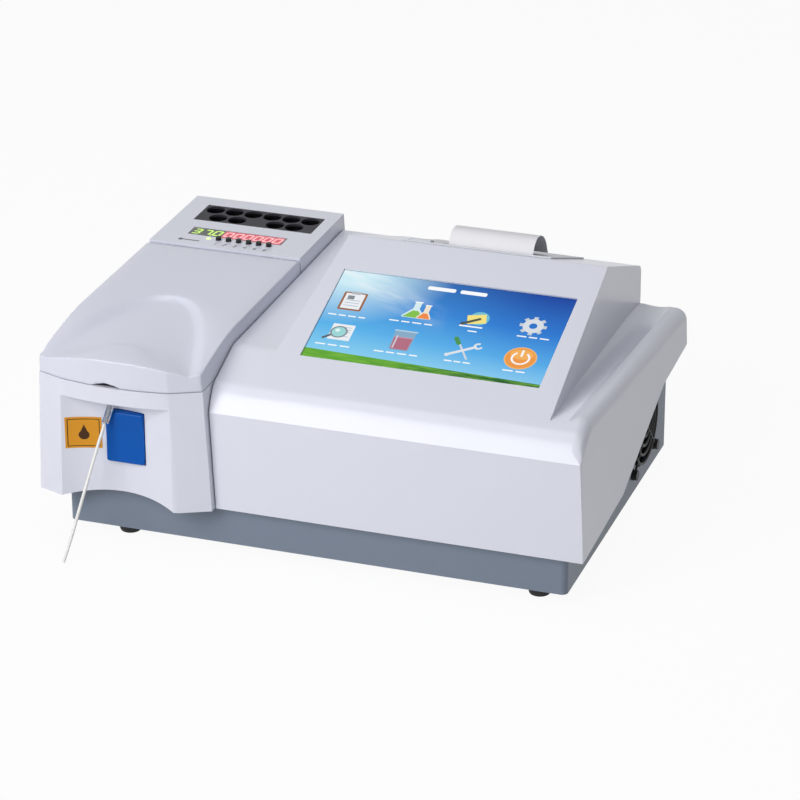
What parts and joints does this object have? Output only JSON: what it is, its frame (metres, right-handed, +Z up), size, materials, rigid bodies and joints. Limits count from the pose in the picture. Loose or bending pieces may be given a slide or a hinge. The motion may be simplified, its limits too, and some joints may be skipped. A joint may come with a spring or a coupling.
{
  "type": "blood analyzer",
  "caption": "Desktop semi-automatic blood chemistry analyzer with tilted touch screen, hinged measuring lid, tube incubator, sample needle, aspirate button and strip printer.",
  "frame": {"origin": "on the table under the middle of the covers", "axes": "+X to the operator's right, +Y to the back, +Z up"},
  "size_m": [0.3526, 0.3005, 0.1656],
  "materials": {
    "cover_grey": "smooth semi-gloss",
    "lid_grey": "smooth semi-gloss",
    "base_paint": "fine satin",
    "steel": "satin",
    "zinc": "bright",
    "rubber_black": "matt",
    "button_blue": "glossy",
    "sticker_amber": "satin",
    "inner_black": "matt",
    "plate_black": "satin black",
    "alloy": "bead blasted",
    "alloy_black": "black anodised",
    "clear": "clear",
    "window_smoke": "glossy smoked",
    "digit_body": "matt",
    "board_green": "satin",
    "lamp_green": "glossy",
    "screen_glass": "glossy",
    "panel_metal": "satin",
    "printer_grey": "fine texture",
    "thermal_paper": "matt",
    "supply_case": "satin",
    "tube_white": "smooth",
    "tube_soft": "smooth"
  },
  "bodies": {
    "housing": {"amber_sticker": "sticker_amber", "aspiration_tube": "tube_white", "bay_deck": "inner_black", "button_guide": "inner_black", "chassis_tray": "base_paint", "data_ports": "zinc", "detector_board": "board_green", "digit_modules": "digit_body", "display_board": "board_green", "display_window": "window_smoke", "fan_frame": "inner_black", "fan_guard": "inner_black", "filter_motor": "steel", "flow_cell": "clear", "foot_screws": "zinc", "halogen_lamp": "clear", "incubator_block": "alloy_black", "incubator_plate": "plate_black", "incubator_shelf": "steel", "lamp_house": "alloy", "lcd_frame": "steel", "lcd_panel": "panel_metal", "lens_barrel": "alloy", "lid_hinge_bracket": "steel", "main_board": "board_green", "main_cover": "cover_grey", "needle_sleeve": "clear", "optics_bench": "alloy", "power_inlet": "inner_black", "power_supply": "supply_case", "print_head": "inner_black", "printer_frame": "printer_grey", "pump_housing": "inner_black", "pump_motor": "steel", "pump_tube": "tube_soft", "rear_panel": "base_paint", "rubber_feet": "rubber_black", "sample_needle": "zinc", "status_light": "lamp_green", "switch_frame": "inner_black", "touch_glass": "screen_glass", "tower_cover": "cover_grey", "waste_fitting": "tube_white"},
    "lid": {"measuring_lid": "lid_grey"},
    "door": {"printer_door": "printer_grey", "paper_strip": "thermal_paper"},
    "platen": {"platen_roller": "rubber_black"},
    "roll": {"paper_roll": "thermal_paper"},
    "button": {"aspirate_button": "button_blue"},
    "rocker": {"power_rocker": "inner_black"},
    "fan_blades": {"fan_rotor": "inner_black"},
    "wheel": {"filter_wheel": "alloy"},
    "pump_head": {"pump_rollers": "inner_black"},
    "tab": {"release_tab": "printer_grey"},
    "key_1": {"timer_key_1": "inner_black"},
    "key_2": {"timer_key_2": "inner_black"},
    "key_3": {"timer_key_3": "inner_black"},
    "key_4": {"timer_key_4": "inner_black"},
    "key_5": {"timer_key_5": "inner_black"},
    "key_6": {"timer_key_6": "inner_black"}
  },
  "joints": [
    {"name": "lid_hinge", "type": "hinge", "parent": "housing", "child": "lid", "pos_m": [-0.12025, 0.04685, 0.131], "axis": [-1, 0, 0], "range_deg": [0, 70]},
    {"name": "door_hinge", "type": "hinge", "parent": "housing", "child": "door", "pos_m": [0.06255, 0.11775, 0.13016], "axis": [-1, 0, 0], "range_deg": [0, 90]},
    {"name": "platen_spin", "type": "hinge", "parent": "door", "child": "platen", "pos_m": [0.06255, 0.0552, 0.14833], "axis": [-1, 0, 0], "continuous": true},
    {"name": "roll_spin", "type": "hinge", "parent": "housing", "child": "roll", "pos_m": [0.06255, 0.08213, 0.12115], "axis": [-1, 0, 0], "continuous": true},
    {"name": "aspirate_press", "type": "slide", "parent": "housing", "child": "button", "axis": [0, 1, 0], "range_m": [0, 0.003], "stiffness_N_per_m": 400, "springref_m": -0.002},
    {"name": "key_1_press", "type": "slide", "parent": "housing", "child": "key_1", "axis": [0, 0, -1], "range_m": [0, 0.0008], "stiffness_N_per_m": 250, "springref_m": -0.001},
    {"name": "key_2_press", "type": "slide", "parent": "housing", "child": "key_2", "axis": [0, 0, -1], "range_m": [0, 0.0008], "stiffness_N_per_m": 250, "springref_m": -0.001},
    {"name": "key_3_press", "type": "slide", "parent": "housing", "child": "key_3", "axis": [0, 0, -1], "range_m": [0, 0.0008], "stiffness_N_per_m": 250, "springref_m": -0.001},
    {"name": "key_4_press", "type": "slide", "parent": "housing", "child": "key_4", "axis": [0, 0, -1], "range_m": [0, 0.0008], "stiffness_N_per_m": 250, "springref_m": -0.001},
    {"name": "key_5_press", "type": "slide", "parent": "housing", "child": "key_5", "axis": [0, 0, -1], "range_m": [0, 0.0008], "stiffness_N_per_m": 250, "springref_m": -0.001},
    {"name": "key_6_press", "type": "slide", "parent": "housing", "child": "key_6", "axis": [0, 0, -1], "range_m": [0, 0.0008], "stiffness_N_per_m": 250, "springref_m": -0.001},
    {"name": "release_press", "type": "slide", "parent": "housing", "child": "tab", "axis": [0, -0.359, -0.9333], "range_m": [0, 0.001], "stiffness_N_per_m": 300, "springref_m": -0.001},
    {"name": "rocker_tilt", "type": "hinge", "parent": "housing", "child": "rocker", "pos_m": [0.05485, 0.11325, 0.035], "axis": [1, 0, 0], "range_deg": [-18, 0]},
    {"name": "fan_spin", "type": "hinge", "parent": "housing", "child": "fan_blades", "pos_m": [0.15585, 0.06025, 0.047], "axis": [1, 0, 0], "continuous": true},
    {"name": "filter_spin", "type": "hinge", "parent": "housing", "child": "wheel", "pos_m": [-0.13225, -0.01555, 0.0695], "axis": [0, 1, 0], "continuous": true},
    {"name": "pump_spin", "type": "hinge", "parent": "housing", "child": "pump_head", "pos_m": [-0.03155, -0.06325, 0.0555], "axis": [0, 0, 1], "continuous": true}
  ],
  "couplings": [
    {"joint": "platen_spin", "follows": "roll_spin", "ratio": 4.2222}
  ]
}
